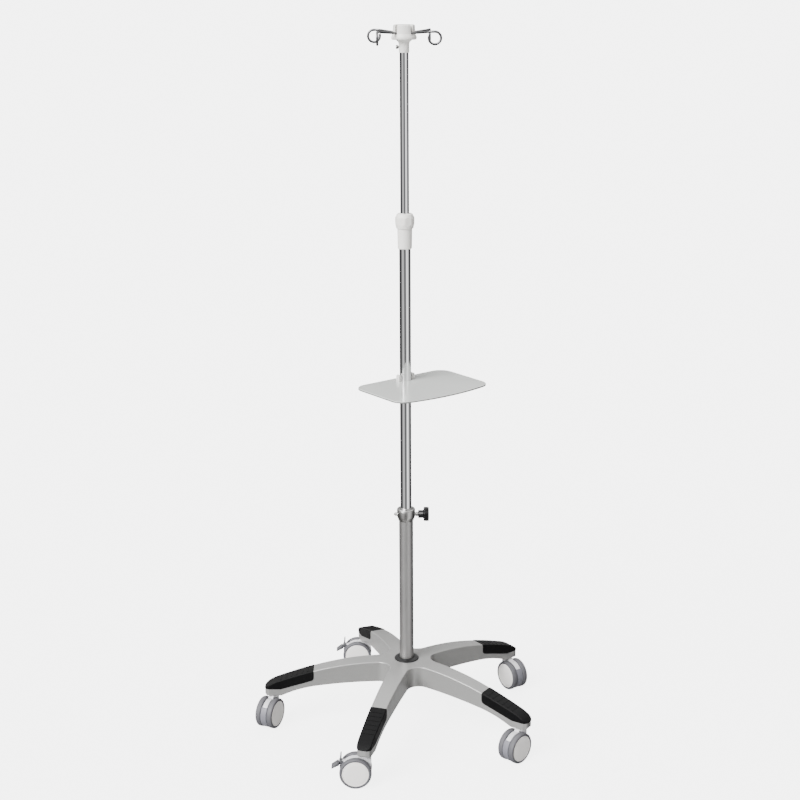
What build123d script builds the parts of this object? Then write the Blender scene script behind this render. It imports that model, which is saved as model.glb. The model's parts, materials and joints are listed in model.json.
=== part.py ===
"""Wheeled infusion stand: star base on five twin castors, telescopic mast, tray and hook head.

Millimetres, +Z up.  The origin is on the floor under the mast's axis.  Angles are degrees
from +X, anticlockwise seen from above.
"""
from build123d import *
from math import cos, hypot, radians, sin
import os

os.makedirs("parts", exist_ok=True)

# ---------------------------------------------------------------- driving dimensions
# star base
arm_count = 5
first_arm_angle = -106.7          # the arm nearest the front
arm_reach = 328.0                 # mast axis to the end of an arm
arm_root_width = 45.0
arm_tip_width = 31.0
tip_corner_radius = 11.0
crotch_radius = 28.0              # round between two arms
hub_flat_radius = 48.0
hub_top = 158.0
hub_bottom = 110.0
base_wall = 4.5
base_edge_radius = 2.4
top_rim_drop = 36.0               # how far below the hub the rounded top rim reaches, up to the covers
top_rim_slope = 0.29              # its further drop per mm under the covers
crotch_zone = 75.0                # radius within which every top edge is part of the rim
rib_thickness = 4.0
mast_bottom = 118.0               # the mast stands on the hub's web
base_bolt_diameter = 10.0
stem_socket_depth = 18.0
bolt_head = 6.5
bolt_head_radius = 9.8
bolt_washer = 2.0
bolt_washer_rim = 2.0             # washer beyond the bolt head
bolt_end_gap = 2.0
foot_ring_radius = 28.0
foot_ring_height = 5.0

# arm tip covers
pad_start = 215.0                 # radius where a cover begins
pad_start_height = 135.5          # height of the bare arm's top there
pad_bend_radius_pos = 300.0       # radius where the nose begins to drop
pad_bend_height = 109.0
pad_end_height = 92.0
pad_proud = 0.9
pad_wall = 3.0
pad_inner_skirt = 113.0           # height of the skirt's lower edge at the inner end
pad_outer_skirt = 90.5
pad_ridge_count = 6
pad_ridge_pitch = 12.5

# castors
stem_radius_pos = 308.0           # mast axis to a castor's swivel axis
wheel_diameter = 70.0
castor_width = 42.0
castor_trail = 22.0
web_thickness = 12.0
stem_diameter = 11.0
pivot_diameter = 8.0
tip_bottom = 74.5                 # underside of the arm's tip
castor_trail_angles = (180.0, 227.0, 303.0, 180.0, 246.0)
braked_castors = (0, 3)
housing_top = 73.0
boss_bottom = 68.5
pivot_bottom = 50.0
stem_flange_diameter = 21.0
boss_diameter = 24.0
web_floor = 16.0                  # lowest edge of the fork
axle_diameter = 6.0
axle_half_length = 18.0
rim_radius = 29.2
wheel_inner = 7.6                 # castor's middle plane to a wheel's inner face
wheel_outer = castor_width / 2
pedal_ear_radius = 4.2
pedal_ear_thickness = 6.0
pedal_pin = 4.0
pedal_drop = 31                    # slope of the foot lever, degrees below level
pedal_foot_width = 24.0
pedal_foot_thickness = 5.0
pedal_tab_width = 10.0             # upright release tab
pedal_tab_thickness = 2.8
pedal_tab_height = 18.0

# mast
lower_tube = 32.0
middle_tube = 25.0
upper_tube_diameter = 19.0
tube_wall = 1.5
mast_top = 519.0
mast_plug = 20.0                  # solid plug in the mast's foot
guide_bottom = 455.0
guide_top = 505.0
glide_length = 30.0
middle_bottom = 345.0
middle_top = 1155.0
upper_bottom = 830.0
upper_top = 1548.0

# mast clamp collar
collar_bottom = 496.0
collar_top = 524.5
collar_diameter = 41.0
knob_height = 510.2
knob_diameter = 32.5
knob_neck_start = 27.0            # distances from the mast axis
knob_head_start = 39.3
knob_head_end = 51.5
knob_flutes = 8
stud_diameter = 8.0
collar_screw_diameter = 5.0

# tray
tray_top = 822.5
tray_thickness = 3.5
tray_width = 250.0
tray_depth = 162.0
tray_bow = 17.0
tray_overhang = 25.0              # mast axis to the tray's rear edge
tray_angle = -52.0                # direction of the tray's front
tray_corner = 30.0
clamp_bottom = 798.0
clamp_top = 836.5
clamp_width = 43.0
clamp_front_depth = 15.0
clamp_back_depth = 13.0
clamp_split = 0.8
clamp_flange = 4.0
clamp_flange_depth = 34.0
clamp_ear_start = 14.5            # mast axis to the ears that rise through the tray
clamp_ear_depth = 5.0
clamp_ear_round = 3.0
clamp_screw = 5.0
clamp_screw_offset = 17.2
clamp_screw_height = 806.5
clamp_screw_head = 4.5
clamp_screw_head_radius = 4.2
clamp_nut = 4.0
clamp_nut_radius = 4.4

# twist lock
lock_bottom = 1113.5
nut_bottom = 1157.7
nut_top = 1188.8
nut_width = 40.0
collet_bottom = 1118.0

# hook head
neck_bottom = 1523.3
flange_bottom = 1549.5
head_top = 1579.6
hook_count = 4
first_hook_angle = 45.0
hook_wire = 5.0
hook_pivot_radius = 14.0
hook_pivot_height = 1562.2
hook_straight_end = 68.0          # radius where the wire begins to curl
hook_rise = 4.2
hook_ring_radius = 12.5
hook_twist = 45.0                 # the ring's plane, turned from the hook's own direction
hook_ring_sweep = 290.0
hook_bend_chord = 16.0
hook_pin = 3.0
hook_pin_length = 14.0
hook_eye_radius = 4.2
hook_slots = ((9.0, 19.6, 4.5), (19.5, 30.0, 2.1))   # inner and outer radius, depth below the pivots
head_screw_height = 1534.5

slip = 0.05                       # radial clearance of a running fit
gap = 0.3                         # clearance between bodies that only pass each other
wheel_radius = wheel_diameter / 2
arm_step = 360 / arm_count


def finish_piece(builder, name):
    """Label a finished piece and write its STEP file."""
    builder.part.label = name
    export_step(builder.part, f"parts/{name}.step")


def ring(outer, inner, low, high):
    """A plain tube about Z between two heights, as a sub-part of the current builder."""
    with BuildSketch(Plane.XY.offset(low)) as section:
        Circle(outer / 2)
        Circle(inner / 2, mode=Mode.SUBTRACT)
    extrude(section.sketch, amount=high - low)


# ---------------------------------------------------------------- star base
def arm_section(lift, floor=None):
    """Radius-height profile of the base, its top raised by lift, its underside flat if floor is given."""
    with BuildSketch(Plane.XZ) as section:
        with BuildLine():
            flat = Line((0, hub_top + lift), (hub_flat_radius, hub_top + lift))
            fall = TangentArc(flat @ 1, (pad_start, pad_start_height + lift), tangent=flat % 1)
            bend = TangentArc(fall @ 1, (pad_bend_radius_pos, pad_bend_height + lift), tangent=fall % 1)
            nose = TangentArc(bend @ 1, (arm_reach + lift, pad_end_height), tangent=bend % 1)
            if floor is None:
                tip = Line(nose @ 1, (arm_reach, tip_bottom + 3))
                under = Line(tip @ 1, (arm_reach - 3, tip_bottom))
                boss = Line(under @ 1, (stem_radius_pos - 18, tip_bottom))
                keel = ThreePointArc(boss @ 1, (255, 88.5), (pad_start, 98))
                belly = TangentArc((hub_flat_radius, hub_bottom), keel @ 1, tangent=(1, 0))
                Polyline(belly @ 0, (0, hub_bottom), flat @ 0)
            else:
                Polyline(nose @ 1, (arm_reach + lift, floor), (0, floor), flat @ 0)
        make_face()
    return section.sketch


def is_top_rim(edge):
    """True for the edges that run round the top of the arms and the hub."""
    middle, heading = edge @ 0.5, edge % 0.5
    radius = hypot(middle.X, middle.Y)
    across = abs(heading.X * middle.X + heading.Y * middle.Y) / radius > 0.3
    lowest = hub_top - top_rim_drop - top_rim_slope * max(0, radius - pad_start)
    return middle.Z > lowest and abs(heading.Z) < 0.9 and radius > hub_flat_radius + 1 and (
        across or radius < crotch_zone or radius > arm_reach - 6)


with BuildSketch() as star_plan:
    with PolarLocations(0, arm_count, start_angle=first_arm_angle):
        Polygon(
            (0, -arm_root_width / 2),
            (arm_reach, -arm_tip_width / 2),
            (arm_reach, arm_tip_width / 2),
            (0, arm_root_width / 2),
            align=None,
        )
    tip_corners = star_plan.vertices().filter_by(lambda v: hypot(v.X, v.Y) > pad_bend_radius_pos)
    fillet(tip_corners, tip_corner_radius)
    crotches = star_plan.vertices().filter_by(lambda v: hypot(v.X, v.Y) < hub_flat_radius)
    fillet(crotches, crotch_radius)

# the covers' zone on one arm, seen from the side
with BuildPart() as pad_zone_one:
    with BuildSketch(Plane.XZ) as pad_side:
        Polygon(
            (pad_start, hub_top + 20),
            (pad_start, pad_inner_skirt),
            (stem_radius_pos - 16, pad_outer_skirt),
            (arm_reach + 20, pad_outer_skirt),
            (arm_reach + 20, hub_top + 20),
            align=None,
        )
        inner_corner = pad_side.vertices().sort_by_distance((pad_start, 0, pad_inner_skirt))[0]
        fillet(inner_corner, 9)
    extrude(amount=arm_root_width, both=True)

with BuildPart() as pad_zone:
    with PolarLocations(0, arm_count, start_angle=first_arm_angle):
        add(pad_zone_one.part)

# what is left of an arm inside its cover
with BuildPart() as core:
    revolve(arm_section(-pad_wall, floor=tip_bottom + 4), axis=Axis.Z)
    with BuildSketch():
        add(star_plan.sketch)
        offset(amount=-pad_wall + 0.6)
    extrude(amount=hub_top, mode=Mode.INTERSECT)
    add(pad_zone.part, mode=Mode.INTERSECT)

# pockets under the arms, between ribs, that leave the hub boss and the stem bosses solid
pocket_ends = ((52, 118), (118, 186), (186, 284))
with BuildPart() as pockets:
    revolve(arm_section(-base_wall, floor=0), axis=Axis.Z)
    with BuildSketch():
        with PolarLocations(0, arm_count, start_angle=first_arm_angle):
            for inner_end, outer_end in pocket_ends:
                width = arm_root_width + (arm_tip_width - arm_root_width) * outer_end / arm_reach
                with Locations(((inner_end + outer_end) / 2, 0)):
                    RectangleRounded(outer_end - inner_end - rib_thickness, width - 2 * base_wall, 6)
    extrude(amount=hub_top, mode=Mode.INTERSECT)

with BuildPart() as star_base:
    revolve(arm_section(0), axis=Axis.Z)
    with BuildSketch():
        add(star_plan.sketch)
    extrude(amount=hub_top, mode=Mode.INTERSECT)
    rim = star_base.edges().filter_by(is_top_rim)
    fillet(rim, base_edge_radius)
    add(pad_zone.part, mode=Mode.SUBTRACT)
    add(core.part)
    add(pockets.part, mode=Mode.SUBTRACT)
    with Locations((0, 0, hub_top)):
        CounterBoreHole(base_bolt_diameter / 2, lower_tube / 2, hub_top - mast_bottom)
    with BuildSketch(Plane.XY.offset(tip_bottom)):
        with PolarLocations(stem_radius_pos, arm_count, start_angle=first_arm_angle):
            Circle(stem_diameter / 2)
    extrude(amount=stem_socket_depth, mode=Mode.SUBTRACT)
finish_piece(star_base, "star_base")

with BuildPart() as ridges:
    revolve(arm_section(pad_proud + 0.7, floor=tip_bottom), axis=Axis.Z)
    with BuildSketch():
        with PolarLocations(0, arm_count, start_angle=first_arm_angle):
            for index in range(pad_ridge_count):
                with Locations((pad_start + 14 + index * pad_ridge_pitch, 0)):
                    SlotOverall(arm_tip_width - 3, 3.2, rotation=90)
    extrude(amount=hub_top, mode=Mode.INTERSECT)
    revolve(arm_section(-0.5, floor=0), axis=Axis.Z, mode=Mode.SUBTRACT)

with BuildPart() as arm_pads:
    revolve(arm_section(pad_proud, floor=tip_bottom), axis=Axis.Z)
    with BuildSketch():
        add(star_plan.sketch)
        offset(amount=pad_proud)
    extrude(amount=hub_top + 10, mode=Mode.INTERSECT)
    fillet(arm_pads.edges().filter_by(is_top_rim), base_edge_radius)
    add(ridges.part)
    add(pad_zone.part, mode=Mode.INTERSECT)
    add(core.part, mode=Mode.SUBTRACT)
finish_piece(arm_pads, "arm_pads")

# ---------------------------------------------------------------- foot ring and base bolt
with BuildPart() as mast_bush:
    with BuildSketch(Plane.XZ):
        with BuildLine():
            Polyline(
                (lower_tube / 2 + 0.1, hub_top),
                (foot_ring_radius, hub_top),
                (foot_ring_radius, hub_top + 1.6),
                (foot_ring_radius - 8, hub_top + foot_ring_height),
                (lower_tube / 2 + 0.1, hub_top + foot_ring_height),
                close=True,
            )
        make_face()
    revolve(axis=Axis.Z)
    fillet(mast_bush.edges().filter_by(GeomType.CIRCLE).group_by(Axis.Z)[-2:], 0.7)
finish_piece(mast_bush, "mast_bush")

with BuildPart() as base_bolt:
    with BuildSketch(Plane.XY.offset(hub_bottom - bolt_washer - bolt_head)):
        RegularPolygon(radius=bolt_head_radius, side_count=6)
    extrude(amount=bolt_head)
    with BuildSketch(Plane.XY.offset(hub_bottom - bolt_washer)):
        Circle(bolt_head_radius + bolt_washer_rim)
    extrude(amount=bolt_washer)
    with BuildSketch(Plane.XY.offset(hub_bottom)):
        Circle(base_bolt_diameter / 2)
    extrude(amount=mast_bottom + mast_plug - hub_bottom - bolt_end_gap)
finish_piece(base_bolt, "base_bolt")

# ---------------------------------------------------------------- castors
with BuildPart() as caster_stems:
    for low, high, diameter in (
        (tip_bottom, tip_bottom + stem_socket_depth - 1, stem_diameter),
        (housing_top + gap, tip_bottom, stem_flange_diameter),
        (pivot_bottom, housing_top + gap, pivot_diameter),
    ):
        with BuildSketch(Plane.XY.offset(low)):
            with PolarLocations(stem_radius_pos, arm_count, start_angle=first_arm_angle):
                Circle(diameter / 2)
        extrude(amount=high - low)
finish_piece(caster_stems, "caster_stems")


def caster_frame(index):
    """Stem position, trailing direction and sideways direction of one castor."""
    arm = radians(first_arm_angle + index * arm_step)
    trail = radians(castor_trail_angles[index])
    stem = Vector(stem_radius_pos * cos(arm), stem_radius_pos * sin(arm), 0)
    return stem, Vector(cos(trail), sin(trail), 0), Vector(-sin(trail), cos(trail), 0)


def side_plane(index):
    """The castor's middle plane: x along the trailing direction, y up, origin on the floor."""
    stem, trail, side = caster_frame(index)
    return Plane(origin=stem, x_dir=trail, z_dir=-side)


def axle_line(index):
    """The castor's wheel axis, pointing to its left side."""
    stem, trail, side = caster_frame(index)
    return Axis(stem + trail * castor_trail + Vector(0, 0, wheel_radius), side)


pedal_pivot = (castor_trail + 32, wheel_radius + 21)


def make_housing(index):
    """The light grey fork between the two wheels, with the swivel bore and the axle bore."""
    with BuildPart() as housing:
        with BuildSketch(side_plane(index)):
            with Locations((castor_trail, wheel_radius)):
                Circle(wheel_radius - 2)
            Polygon(
                (-12, housing_top),
                (-12, wheel_radius + 4),
                (castor_trail, wheel_radius),
                (castor_trail, wheel_diameter - 6),
                (12, housing_top),
                align=None,
            )
            with Locations((castor_trail, 0)):
                Rectangle(wheel_diameter * 2, 2 * web_floor, mode=Mode.SUBTRACT)
        extrude(amount=web_thickness / 2, both=True)
        fillet(housing.edges().filter_by(GeomType.CIRCLE).filter_by(lambda e: e.length > 40), 1.5)
        if index in braked_castors:
            with BuildSketch(side_plane(index)):
                with Locations(pedal_pivot):
                    Circle(pedal_ear_radius)
                Polygon(
                    (pedal_pivot[0] - 2, pedal_pivot[1] + 4),
                    (castor_trail + 14, wheel_radius + 26),
                    (castor_trail + 26, wheel_radius + 8),
                    (pedal_pivot[0] + 3, pedal_pivot[1] - 3),
                    align=None,
                )
            extrude(amount=pedal_ear_thickness / 2, both=True)
            with BuildSketch(side_plane(index)):
                with Locations(pedal_pivot):
                    Circle(pedal_pin / 2 + slip)
            extrude(amount=web_thickness, both=True, mode=Mode.SUBTRACT)
        stem = caster_frame(index)[0]
        with BuildSketch(Plane(origin=stem + Vector(0, 0, boss_bottom))):
            Circle(boss_diameter / 2)
        extrude(amount=housing_top - boss_bottom)
        with BuildSketch(Plane(origin=stem + Vector(0, 0, pivot_bottom - 1))):
            Circle(pivot_diameter / 2 + slip)
        extrude(amount=housing_top, mode=Mode.SUBTRACT)
        with BuildSketch(side_plane(index)):
            with Locations((castor_trail, wheel_radius)):
                Circle(axle_diameter / 2)
        extrude(amount=web_thickness, both=True, mode=Mode.SUBTRACT)
    return housing


def make_axle(index):
    """The steel pin that both wheels of a castor turn on."""
    with BuildPart() as axle:
        with BuildSketch(side_plane(index)):
            with Locations((castor_trail, wheel_radius)):
                Circle(axle_diameter / 2)
        extrude(amount=axle_half_length, both=True)
    return axle


def turned_about_axle(index, side, outline):
    """Revolve an outline of (distance from the middle plane, radius) points about the wheel axis."""
    axis = axle_line(index)
    outward = axis.direction * side
    with BuildPart() as turned:
        with BuildSketch(Plane(origin=axis.position, x_dir=outward, z_dir=caster_frame(index)[1])):
            Polygon(*outline, align=None)
        revolve(axis=axis)
    return turned


def make_wheel(index, side):
    """The moulded wheel: a disc with a blind bore and a dished inner face."""
    outline = (
        (wheel_inner, axle_diameter / 2 + slip),
        (wheel_inner, 8),
        (wheel_inner + 2, 9.5),
        (wheel_inner + 2, 24),
        (wheel_inner, 25.5),
        (wheel_inner, rim_radius),
        (wheel_outer - 0.7, rim_radius),
        (wheel_outer, rim_radius - 1.2),
        (wheel_outer, 0),
        (axle_half_length + gap, 0),
        (axle_half_length + gap, axle_diameter / 2 + slip),
    )
    return turned_about_axle(index, side, outline)


def make_tyre(index, side):
    """The soft tread round a wheel, with rounded shoulders."""
    width = wheel_outer - wheel_inner
    outline = (
        (wheel_inner - 0.1, rim_radius),
        (wheel_inner - 0.1, wheel_radius),
        (wheel_inner + width, wheel_radius),
        (wheel_inner + width, rim_radius),
    )
    tyre = turned_about_axle(index, side, outline)
    with tyre:
        outer_edges = tyre.edges().filter_by(GeomType.CIRCLE).filter_by(lambda e: e.radius > rim_radius + 1)
        fillet(outer_edges, 3.2)
    return tyre


def make_pedal(index):
    """The brake pedal: a fork on its own pin, with a foot lever and an upright release tab."""
    plane = side_plane(index)
    with BuildPart() as pedal:
        with BuildSketch(plane):
            with Locations(pedal_pivot):
                Circle(pedal_ear_radius + 0.6)
            with Locations(Location((*pedal_pivot, 0), (0, 0, -pedal_drop))):
                with Locations((13, 0)):
                    Rectangle(20, pedal_foot_thickness)
        extrude(amount=web_thickness / 2, both=True)
        with BuildSketch(plane):
            with Locations(Location((*pedal_pivot, 0), (0, 0, -pedal_drop))):
                with Locations((17, 0)):
                    Rectangle(14, pedal_foot_thickness)
        extrude(amount=pedal_foot_width / 2, both=True)
        fillet(pedal.edges().group_by(SortBy.LENGTH)[-1], 1.8)
        with BuildSketch(plane):
            with Locations((pedal_pivot[0], pedal_pivot[1] + pedal_tab_height / 2 + 4)):
                Rectangle(pedal_tab_thickness, pedal_tab_height)
        extrude(amount=pedal_tab_width / 2, both=True)
        with BuildSketch(plane):
            with Locations(pedal_pivot):
                Circle(pedal_ear_radius + gap)
            Polygon(
                (pedal_pivot[0], pedal_pivot[1] + 4.8),
                (pedal_pivot[0] - 12, pedal_pivot[1] + 5),
                (pedal_pivot[0] - 12, pedal_pivot[1] - 20),
                (pedal_pivot[0] + 4.2, pedal_pivot[1] - 7),
                (pedal_pivot[0] + 4.2, pedal_pivot[1] - 1),
                align=None,
            )
        extrude(amount=pedal_ear_thickness / 2 + gap, both=True, mode=Mode.SUBTRACT)
        with BuildSketch(plane):
            with Locations(pedal_pivot):
                Circle(pedal_pin / 2)
        extrude(amount=web_thickness / 2, both=True)
    return pedal


for index in range(arm_count):
    number = index + 1
    finish_piece(make_housing(index), f"caster_{number}_housing")
    finish_piece(make_axle(index), f"caster_{number}_axle")
    for side, side_name in ((1, "left"), (-1, "right")):
        finish_piece(make_wheel(index, side), f"caster_{number}_wheel_{side_name}")
        finish_piece(make_tyre(index, side), f"caster_{number}_tyre_{side_name}")
for index in braked_castors:
    finish_piece(make_pedal(index), f"caster_{index + 1}_brake_pedal")

# ---------------------------------------------------------------- lower mast and clamp
stud_plane = Plane(origin=(0, 0, knob_height), x_dir=(0, 1, 0), z_dir=(1, 0, 0))
back_screw_plane = Plane(origin=(0, 0, knob_height), x_dir=(0, 1, 0), z_dir=(-1, 0, 0))

with BuildPart() as lower_mast:
    with BuildSketch(Plane.XY.offset(mast_bottom)):
        Circle(lower_tube / 2 - slip)
    extrude(amount=mast_top - mast_bottom)
    with BuildSketch(Plane.XY.offset(mast_bottom + mast_plug)):
        Circle(lower_tube / 2 - tube_wall)
    extrude(amount=mast_top, mode=Mode.SUBTRACT)
    with BuildSketch(Plane.XY.offset(mast_bottom)):
        Circle(base_bolt_diameter / 2)
    extrude(amount=mast_plug, mode=Mode.SUBTRACT)
    with BuildSketch(stud_plane):
        Circle(stud_diameter / 2 + gap)
    extrude(amount=lower_tube, mode=Mode.SUBTRACT)
    with BuildSketch(back_screw_plane):
        Circle(collar_screw_diameter / 2)
    extrude(amount=lower_tube, mode=Mode.SUBTRACT)
finish_piece(lower_mast, "lower_mast")

with BuildPart() as guide_bush:
    ring(lower_tube - 2 * tube_wall, middle_tube + 2 * slip, guide_bottom, guide_top)
finish_piece(guide_bush, "guide_bush")

with BuildPart() as clamp_collar:
    with BuildSketch(Plane.XZ):
        Polygon(
            (lower_tube / 2, collar_bottom),
            (lower_tube / 2 + 0.8, collar_bottom),
            (collar_diameter / 2 - 0.6, collar_bottom + 8.5),
            (collar_diameter / 2, collar_bottom + 11),
            (collar_diameter / 2, collar_top - 2),
            (collar_diameter / 2 - 2, collar_top),
            (middle_tube / 2 + gap + 1.5, collar_top),
            (middle_tube / 2 + gap, collar_top - 2),
            (middle_tube / 2 + gap, mast_top),
            (lower_tube / 2, mast_top),
            align=None,
        )
    revolve(axis=Axis.Z)
    with BuildSketch(stud_plane):
        Circle(stud_diameter / 2 + slip)
    extrude(amount=collar_diameter, mode=Mode.SUBTRACT)
    with BuildSketch(back_screw_plane):
        Circle(collar_screw_diameter / 2)
    extrude(amount=collar_diameter, mode=Mode.SUBTRACT)
finish_piece(clamp_collar, "clamp_collar")

with BuildPart() as collar_screw:
    with BuildSketch(back_screw_plane.offset(lower_tube / 2 - tube_wall + 0.2)):
        Circle(collar_screw_diameter / 2)
    extrude(amount=7)
    with BuildSketch(back_screw_plane.offset(collar_diameter / 2)):
        RegularPolygon(radius=4, side_count=6)
    extrude(amount=4.5)
    with BuildSketch(back_screw_plane.offset(collar_diameter / 2 + 4.5)):
        Circle(collar_screw_diameter / 2)
    extrude(amount=2.2)
finish_piece(collar_screw, "collar_screw")

with BuildPart() as clamp_stud:
    with BuildSketch(stud_plane.offset(middle_tube / 2 + gap)):
        Circle(stud_diameter / 2)
    extrude(amount=knob_neck_start + 18 - middle_tube / 2)
    with BuildSketch(stud_plane.offset(collar_diameter / 2 + 1.5)):
        Circle(stud_diameter / 2 + 1)
    extrude(amount=knob_neck_start - collar_diameter / 2 - 1.5)
finish_piece(clamp_stud, "clamp_stud")

with BuildPart() as clamp_knob:
    with BuildSketch(stud_plane.offset(knob_neck_start)):
        Circle(9)
    extrude(amount=knob_head_start - knob_neck_start + 0.5)
    with BuildSketch(stud_plane.offset(knob_head_start)):
        Circle(knob_diameter / 2)
        with PolarLocations(knob_diameter / 2 + 1.6, knob_flutes):
            Circle(3.2, mode=Mode.SUBTRACT)
    extrude(amount=knob_head_end - knob_head_start)
    fillet(clamp_knob.faces().sort_by(Axis.X)[-1].edges(), 1.6)
    fillet(clamp_knob.faces().sort_by(Axis.X)[0].edges(), 1.4)
    with BuildSketch(stud_plane):
        Circle(stud_diameter / 2)
    extrude(amount=knob_neck_start + 18 + gap, mode=Mode.SUBTRACT)
finish_piece(clamp_knob, "clamp_knob")

# ---------------------------------------------------------------- telescopic tubes
with BuildPart() as middle_tube_part:
    ring(middle_tube, middle_tube - 2 * tube_wall, middle_bottom, middle_top)
finish_piece(middle_tube_part, "middle_tube")

with BuildPart() as middle_glide:
    ring(lower_tube - 2 * tube_wall - 2 * slip, middle_tube, middle_bottom, middle_bottom + glide_length)
finish_piece(middle_glide, "middle_glide")

with BuildPart() as upper_tube:
    ring(upper_tube_diameter, upper_tube_diameter - 2.4, upper_bottom, upper_top)
finish_piece(upper_tube, "upper_tube")

# ---------------------------------------------------------------- tray and its clamp
tray_facing = radians(tray_angle)
tray_plane = Plane(origin=(0, 0, 0), x_dir=(sin(tray_facing), -cos(tray_facing), 0), z_dir=(0, 0, 1))
clamp_ear_width = clamp_width / 2 - clamp_ear_start
clamp_ear_middle = clamp_ear_start + clamp_ear_width / 2

with BuildPart() as tray_plate:
    with BuildSketch(tray_plane.offset(tray_top - tray_thickness)) as tray_plan:
        with BuildLine():
            rear_left, rear_right = (-tray_width / 2, -tray_overhang), (tray_width / 2, -tray_overhang)
            front_y = tray_depth - tray_overhang
            Polyline((-tray_width / 2, front_y), rear_left, rear_right, (tray_width / 2, front_y))
            ThreePointArc((tray_width / 2, front_y), (0, front_y + tray_bow), (-tray_width / 2, front_y))
        make_face()
        fillet(tray_plan.vertices(), tray_corner)
        Circle(middle_tube / 2 + gap, mode=Mode.SUBTRACT)
        with Locations((-clamp_ear_middle, 0), (clamp_ear_middle, 0)):
            Rectangle(clamp_ear_width + 2 * gap, 2 * clamp_ear_depth + 2 * gap, mode=Mode.SUBTRACT)
    extrude(amount=tray_thickness)
    fillet(tray_plate.faces().sort_by(Axis.Z)[-1].outer_wire().edges(), 1.2)
finish_piece(tray_plate, "tray_plate")


def clamp_screw_plane(across, start):
    """The plane across a clamp screw, start mm in front of the mast axis."""
    centre = tray_plane.x_dir * across + tray_plane.y_dir * start + Vector(0, 0, clamp_screw_height)
    return Plane(origin=centre, x_dir=tray_plane.x_dir, z_dir=tray_plane.y_dir)


def clamp_half(side, depth, flanged):
    """Half of the split block that grips the middle tube under the tray, with two ears that rise through it.

    The half lies in front of the mast axis if side is 1, and behind it if side is -1.
    """
    block_top = tray_top - tray_thickness
    low, high = sorted((side * clamp_split / 2, side * depth))
    ear_low, ear_high = sorted((side * clamp_split / 2, side * clamp_ear_depth))
    with BuildPart() as half:
        with BuildSketch(tray_plane.offset(clamp_bottom)):
            with Locations((0, (low + high) / 2)):
                Rectangle(clamp_width, high - low)
        extrude(amount=block_top - clamp_bottom)
        with BuildSketch(tray_plane.offset(clamp_bottom)):
            ear_line = (ear_low + ear_high) / 2
            with Locations((-clamp_ear_middle, ear_line), (clamp_ear_middle, ear_line)):
                Rectangle(clamp_ear_width, ear_high - ear_low)
        extrude(amount=clamp_top - clamp_bottom)
        top_ends = half.edges().filter_by(Axis((0, 0, 0), tray_plane.y_dir))
        fillet(top_ends.group_by(Axis.Z)[-1], clamp_ear_round)
        with BuildSketch(tray_plane.offset(clamp_bottom)):
            Circle(middle_tube / 2 + slip)
        extrude(amount=clamp_top, mode=Mode.SUBTRACT)
        for across in (-clamp_screw_offset, clamp_screw_offset):
            with BuildSketch(clamp_screw_plane(across, 0)):
                Circle(clamp_screw / 2)
            extrude(amount=clamp_width, both=True, mode=Mode.SUBTRACT)
        if flanged:
            with BuildSketch(tray_plane.offset(block_top - clamp_flange)):
                with Locations((0, high + clamp_flange_depth / 2 - 1)):
                    RectangleRounded(clamp_width + 18, clamp_flange_depth, 4)
            extrude(amount=clamp_flange)
    return half


finish_piece(clamp_half(1, clamp_front_depth, flanged=True), "tray_clamp_front")
finish_piece(clamp_half(-1, clamp_back_depth, flanged=False), "tray_clamp_back")

with BuildPart() as tray_clamp_screws:
    for across in (-clamp_screw_offset, clamp_screw_offset):
        with BuildSketch(clamp_screw_plane(across, -clamp_back_depth - 1)):
            Circle(clamp_screw / 2)
        extrude(amount=clamp_back_depth + clamp_front_depth + 2)
        with BuildSketch(clamp_screw_plane(across, clamp_front_depth)):
            Circle(clamp_screw_head_radius)
        extrude(amount=clamp_screw_head)
        with BuildSketch(clamp_screw_plane(across, -clamp_back_depth - clamp_nut)):
            RegularPolygon(radius=clamp_nut_radius, side_count=6)
        extrude(amount=clamp_nut)
finish_piece(tray_clamp_screws, "tray_clamp_screws")

# ---------------------------------------------------------------- twist lock
with BuildPart() as lock_body:
    with BuildSketch(Plane.XZ):
        Polygon(
            (middle_tube / 2, lock_bottom),
            (14.2, lock_bottom),
            (15.2, lock_bottom + 1.6),
            (16, nut_bottom - gap),
            (15, nut_bottom - gap),
            (15, nut_bottom + 15),
            (upper_tube_diameter / 2 + 1.5, nut_bottom + 15),
            (upper_tube_diameter / 2 + 1.5, middle_top),
            (middle_tube / 2, middle_top),
            align=None,
        )
    revolve(axis=Axis.Z)
finish_piece(lock_body, "lock_body")

with BuildPart() as lock_collet:
    ring(upper_tube_diameter + 3, upper_tube_diameter + 2 * slip, collet_bottom, nut_bottom + 19)
finish_piece(lock_collet, "lock_collet")

with BuildPart() as lock_nut:
    with BuildSketch(Plane.XY.offset(nut_bottom)) as nut_plan:
        RegularPolygon(radius=nut_width / 2 + 1.2, side_count=8)
        fillet(nut_plan.vertices(), 5)
    extrude(amount=nut_top - nut_bottom)
    with BuildSketch(Plane.XZ):
        Polygon(
            (0, nut_bottom),
            (nut_width / 2 - 1.8, nut_bottom),
            (nut_width / 2 + 0.6, nut_bottom + 10),
            (nut_width / 2 + 0.6, nut_top - 8.5),
            (nut_width / 2 - 3.2, nut_top - 1),
            (nut_width / 2 - 4.5, nut_top),
            (0, nut_top),
            align=None,
        )
    revolve(axis=Axis.Z, mode=Mode.INTERSECT)
    with BuildSketch(Plane.XZ):
        Polygon(
            (0, nut_bottom),
            (15 + slip, nut_bottom),
            (15 + slip, nut_bottom + 20),
            (upper_tube_diameter / 2 + gap, nut_top - 5),
            (upper_tube_diameter / 2 + gap, nut_top),
            (0, nut_top),
            align=None,
        )
    revolve(axis=Axis.Z, mode=Mode.SUBTRACT)
finish_piece(lock_nut, "lock_nut")

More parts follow.
